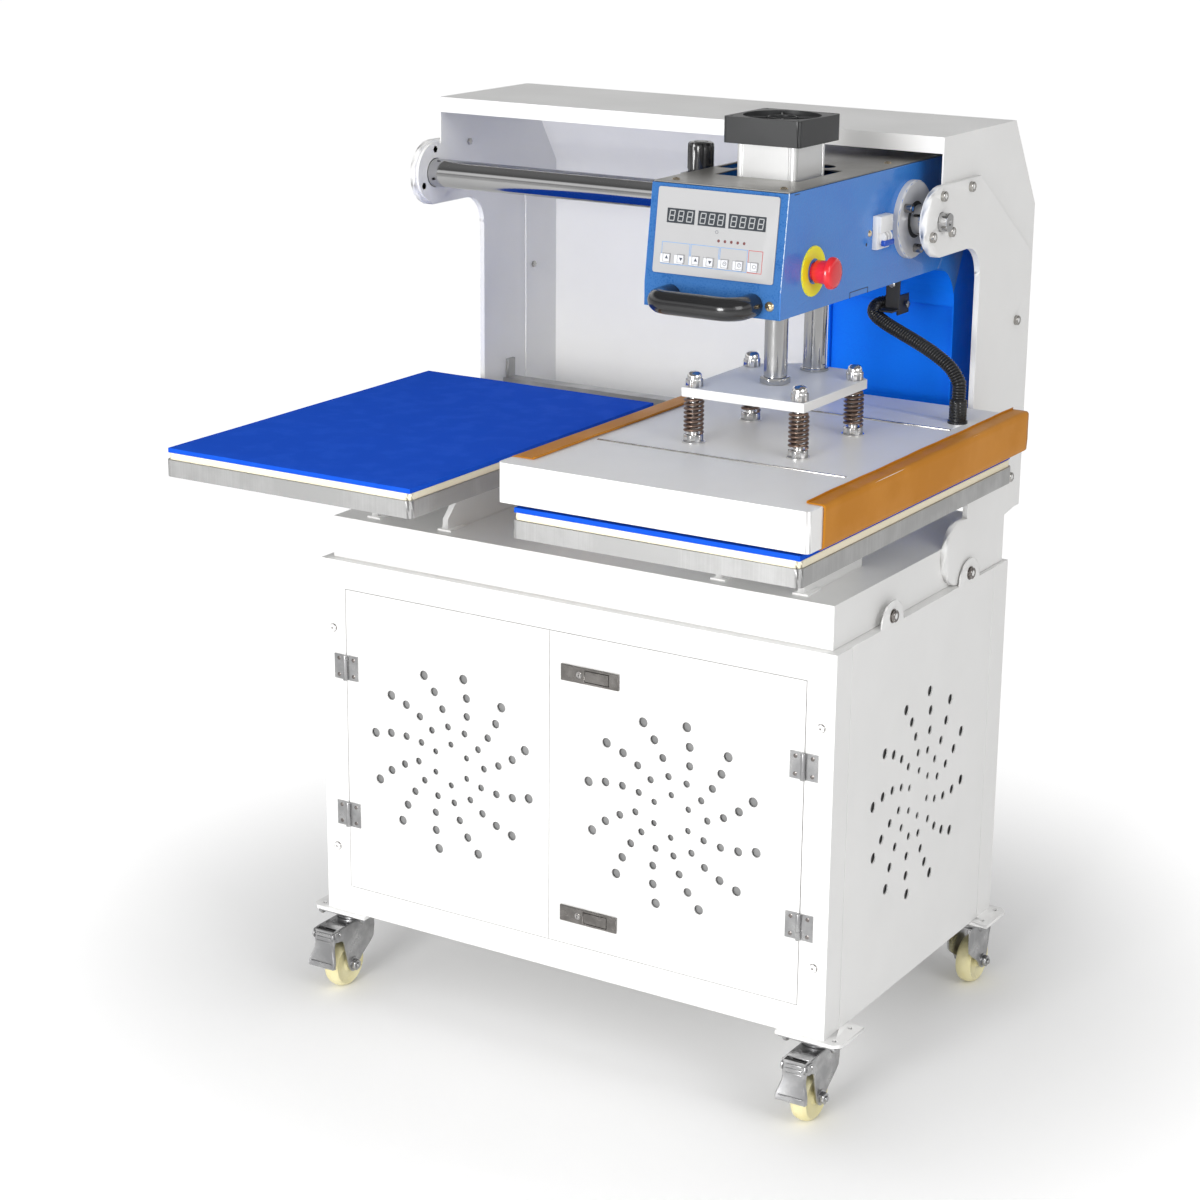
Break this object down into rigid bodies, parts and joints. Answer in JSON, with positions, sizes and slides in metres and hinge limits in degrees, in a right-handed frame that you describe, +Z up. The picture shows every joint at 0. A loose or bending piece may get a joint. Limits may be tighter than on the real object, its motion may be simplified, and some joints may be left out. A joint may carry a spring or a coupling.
{
  "type": "dual station heat press",
  "caption": "Heat press with a shuttling heated platen over two padded work stations, on a ventilated steel cabinet with swivel casters.",
  "frame": {"origin": "middle of the bottom of the bounding box, on the floor under the machine", "axes": "+Z up, -Y towards the operator, +X to the operator's right"},
  "size_m": [0.969, 0.8306, 1.3185],
  "materials": {
    "white_paint": "satin",
    "blue_paint": "hammered gloss",
    "foam_blue": "matt",
    "silicone": "matt",
    "cast_grey": "milled",
    "polished_steel": "polished",
    "zinc": "satin",
    "nickel_dark": "satin",
    "stainless": "brushed",
    "cylinder_aluminium": "satin",
    "black_plastic": "semi gloss",
    "black_corrugated": "satin",
    "nylon": "satin",
    "release_gold": "waxy satin",
    "red_plastic": "gloss",
    "spring_brown": "satin",
    "overlay": "satin",
    "key_plastic": "satin",
    "breaker_white": "satin",
    "toggle_blue": "satin"
  },
  "bodies": {
    "stand": {"cabinet_frame": "white_paint", "tray": "white_paint", "column_plate_left": "white_paint", "column_plate_right": "white_paint", "column_cover": "white_paint", "guide_shaft": "polished_steel", "guide_rail": "zinc", "lower_plate_left": "cast_grey", "lower_plate_right": "cast_grey", "silicone_pad_left": "silicone", "silicone_pad_right": "silicone", "foam_pad_left": "foam_blue", "foam_pad_right": "foam_blue"},
    "left_door": {"door_left": "white_paint"},
    "right_door": {"door_right": "white_paint", "lock_plate_lower": "nickel_dark", "lock_plate_upper": "nickel_dark"},
    "lower_flap": {"lock_flap_lower": "nickel_dark"},
    "upper_flap": {"lock_flap_upper": "nickel_dark"},
    "lower_lock_button": {"lock_button_lower": "nickel_dark"},
    "upper_lock_button": {"lock_button_upper": "nickel_dark"},
    "front_left_caster": {"caster_fork_front_left": "zinc"},
    "front_right_caster": {"caster_fork_front_right": "zinc"},
    "rear_left_caster": {"caster_fork_rear_left": "zinc"},
    "rear_right_caster": {"caster_fork_rear_right": "zinc"},
    "front_left_wheel": {"caster_wheel_front_left": "nylon"},
    "front_right_wheel": {"caster_wheel_front_right": "nylon"},
    "rear_left_wheel": {"caster_wheel_rear_left": "nylon"},
    "rear_right_wheel": {"caster_wheel_rear_right": "nylon"},
    "left_brake": {"brake_pedal_left": "zinc"},
    "right_brake": {"brake_pedal_right": "zinc"},
    "carriage": {"arm_body": "blue_paint", "arm_top_plate": "stainless", "display_panel": "overlay", "front_handle": "black_plastic", "breaker_body": "breaker_white", "conduit": "black_corrugated", "air_cylinder": "cylinder_aluminium", "fan_frame": "black_plastic"},
    "temperature_up": {"key_temperature_up": "key_plastic"},
    "temperature_down": {"key_temperature_down": "key_plastic"},
    "time_up": {"key_time_up": "key_plastic"},
    "time_down": {"key_time_down": "key_plastic"},
    "manual": {"key_manual": "key_plastic"},
    "automatic": {"key_automatic": "key_plastic"},
    "reset": {"key_reset": "key_plastic"},
    "knob": {"regulator_knob": "black_plastic"},
    "rotor": {"fan_rotor": "black_plastic"},
    "stop": {"stop_button": "red_plastic"},
    "toggle": {"breaker_toggle": "toggle_blue"},
    "press": {"pressure_plate": "white_paint", "piston_rod": "polished_steel", "guide_rod": "polished_steel", "stud_spring_1": "spring_brown", "stud_spring_2": "spring_brown", "stud_spring_3": "spring_brown", "stud_spring_4": "spring_brown"},
    "platen": {"heater_block": "cast_grey", "platen_cover": "white_paint", "release_sheet": "release_gold"}
  },
  "joints": [
    {"name": "left_door_hinge", "type": "hinge", "parent": "stand", "child": "left_door", "pos_m": [-0.37255, -0.1768, 0.387], "axis": [0, 0, -1], "range_deg": [0, 160]},
    {"name": "right_door_hinge", "type": "hinge", "parent": "stand", "child": "right_door", "pos_m": [0.36345, -0.1768, 0.387], "axis": [0, 0, 1], "range_deg": [0, 160]},
    {"name": "lower_flap_hinge", "type": "hinge", "parent": "right_door", "child": "lower_flap", "pos_m": [0.06578, -0.1765, 0.2093], "axis": [0, 0, 1], "range_deg": [0, 35]},
    {"name": "upper_flap_hinge", "type": "hinge", "parent": "right_door", "child": "upper_flap", "pos_m": [0.06578, -0.1765, 0.5605], "axis": [0, 0, 1], "range_deg": [0, 35]},
    {"name": "lower_lock_press", "type": "slide", "parent": "right_door", "child": "lower_lock_button", "axis": [0, 1, 0], "range_m": [0, 0.0015], "stiffness_N_per_m": 800, "springref_m": -0.001},
    {"name": "upper_lock_press", "type": "slide", "parent": "right_door", "child": "upper_lock_button", "axis": [0, 1, 0], "range_m": [0, 0.0015], "stiffness_N_per_m": 800, "springref_m": -0.001},
    {"name": "front_left_swivel", "type": "hinge", "parent": "stand", "child": "front_left_caster", "pos_m": [-0.39255, -0.1433, 0.1127], "axis": [0, 0, 1], "continuous": true},
    {"name": "front_right_swivel", "type": "hinge", "parent": "stand", "child": "front_right_caster", "pos_m": [0.38345, -0.1433, 0.1127], "axis": [0, 0, 1], "continuous": true},
    {"name": "rear_left_swivel", "type": "hinge", "parent": "stand", "child": "rear_left_caster", "pos_m": [-0.39255, 0.3267, 0.1127], "axis": [0, 0, 1], "continuous": true},
    {"name": "rear_right_swivel", "type": "hinge", "parent": "stand", "child": "rear_right_caster", "pos_m": [0.38345, 0.3267, 0.1127], "axis": [0, 0, 1], "continuous": true},
    {"name": "front_left_roll", "type": "hinge", "parent": "front_left_caster", "child": "front_left_wheel", "pos_m": [-0.39255, -0.1683, 0.036], "axis": [1, 0, 0], "continuous": true},
    {"name": "front_right_roll", "type": "hinge", "parent": "front_right_caster", "child": "front_right_wheel", "pos_m": [0.38345, -0.1683, 0.036], "axis": [1, 0, 0], "continuous": true},
    {"name": "rear_left_roll", "type": "hinge", "parent": "rear_left_caster", "child": "rear_left_wheel", "pos_m": [-0.39255, 0.3517, 0.036], "axis": [1, 0, 0], "continuous": true},
    {"name": "rear_right_roll", "type": "hinge", "parent": "rear_right_caster", "child": "rear_right_wheel", "pos_m": [0.38345, 0.3517, 0.036], "axis": [1, 0, 0], "continuous": true},
    {"name": "left_brake_hinge", "type": "hinge", "parent": "front_left_caster", "child": "left_brake", "pos_m": [-0.39255, -0.2033, 0.097], "axis": [1, 0, 0], "range_deg": [-30, 10]},
    {"name": "right_brake_hinge", "type": "hinge", "parent": "front_right_caster", "child": "right_brake", "pos_m": [0.38345, -0.2033, 0.097], "axis": [1, 0, 0], "range_deg": [-30, 10]},
    {"name": "head_shuttle", "type": "slide", "parent": "stand", "child": "carriage", "axis": [1, 0, 0], "range_m": [-0.556, 0]},
    {"name": "temperature_up_press", "type": "slide", "parent": "carriage", "child": "temperature_up", "axis": [0, 0.991, -0.1336], "range_m": [0, 0.0005], "stiffness_N_per_m": 1000, "springref_m": -0.0005},
    {"name": "temperature_down_press", "type": "slide", "parent": "carriage", "child": "temperature_down", "axis": [0, 0.991, -0.1336], "range_m": [0, 0.0005], "stiffness_N_per_m": 1000, "springref_m": -0.0005},
    {"name": "time_up_press", "type": "slide", "parent": "carriage", "child": "time_up", "axis": [0, 0.991, -0.1336], "range_m": [0, 0.0005], "stiffness_N_per_m": 1000, "springref_m": -0.0005},
    {"name": "time_down_press", "type": "slide", "parent": "carriage", "child": "time_down", "axis": [0, 0.991, -0.1336], "range_m": [0, 0.0005], "stiffness_N_per_m": 1000, "springref_m": -0.0005},
    {"name": "manual_press", "type": "slide", "parent": "carriage", "child": "manual", "axis": [0, 0.991, -0.1336], "range_m": [0, 0.0005], "stiffness_N_per_m": 1000, "springref_m": -0.0005},
    {"name": "automatic_press", "type": "slide", "parent": "carriage", "child": "automatic", "axis": [0, 0.991, -0.1336], "range_m": [0, 0.0005], "stiffness_N_per_m": 1000, "springref_m": -0.0005},
    {"name": "reset_press", "type": "slide", "parent": "carriage", "child": "reset", "axis": [0, 0.991, -0.1336], "range_m": [0, 0.0005], "stiffness_N_per_m": 1000, "springref_m": -0.0005},
    {"name": "regulator_turn", "type": "hinge", "parent": "carriage", "child": "knob", "pos_m": [0.14725, -0.0933, 1.258], "axis": [0, 0, 1], "range_deg": [-720, 720]},
    {"name": "fan_spin", "type": "hinge", "parent": "carriage", "child": "rotor", "pos_m": [0.27345, -0.1133, 1.3], "axis": [0, 0, 1], "continuous": true},
    {"name": "stop_press", "type": "slide", "parent": "carriage", "child": "stop", "axis": [-1, 0, 0], "range_m": [0, 0.004]},
    {"name": "breaker_flip", "type": "hinge", "parent": "carriage", "child": "toggle", "pos_m": [0.36245, 0.00245, 1.166], "axis": [0, -1, 0], "range_deg": [0, 95]},
    {"name": "press_stroke", "type": "slide", "parent": "carriage", "child": "press", "axis": [0, 0, 1], "range_m": [0, 0.06], "deforming": ["conduit"]},
    {"name": "platen_float", "type": "slide", "parent": "press", "child": "platen", "axis": [0, 0, 1], "range_m": [0, 0.008], "stiffness_N_per_m": 20000, "springref_m": -0.002, "deforming": ["stud_spring_1", "stud_spring_2", "stud_spring_3", "stud_spring_4"]}
  ]
}
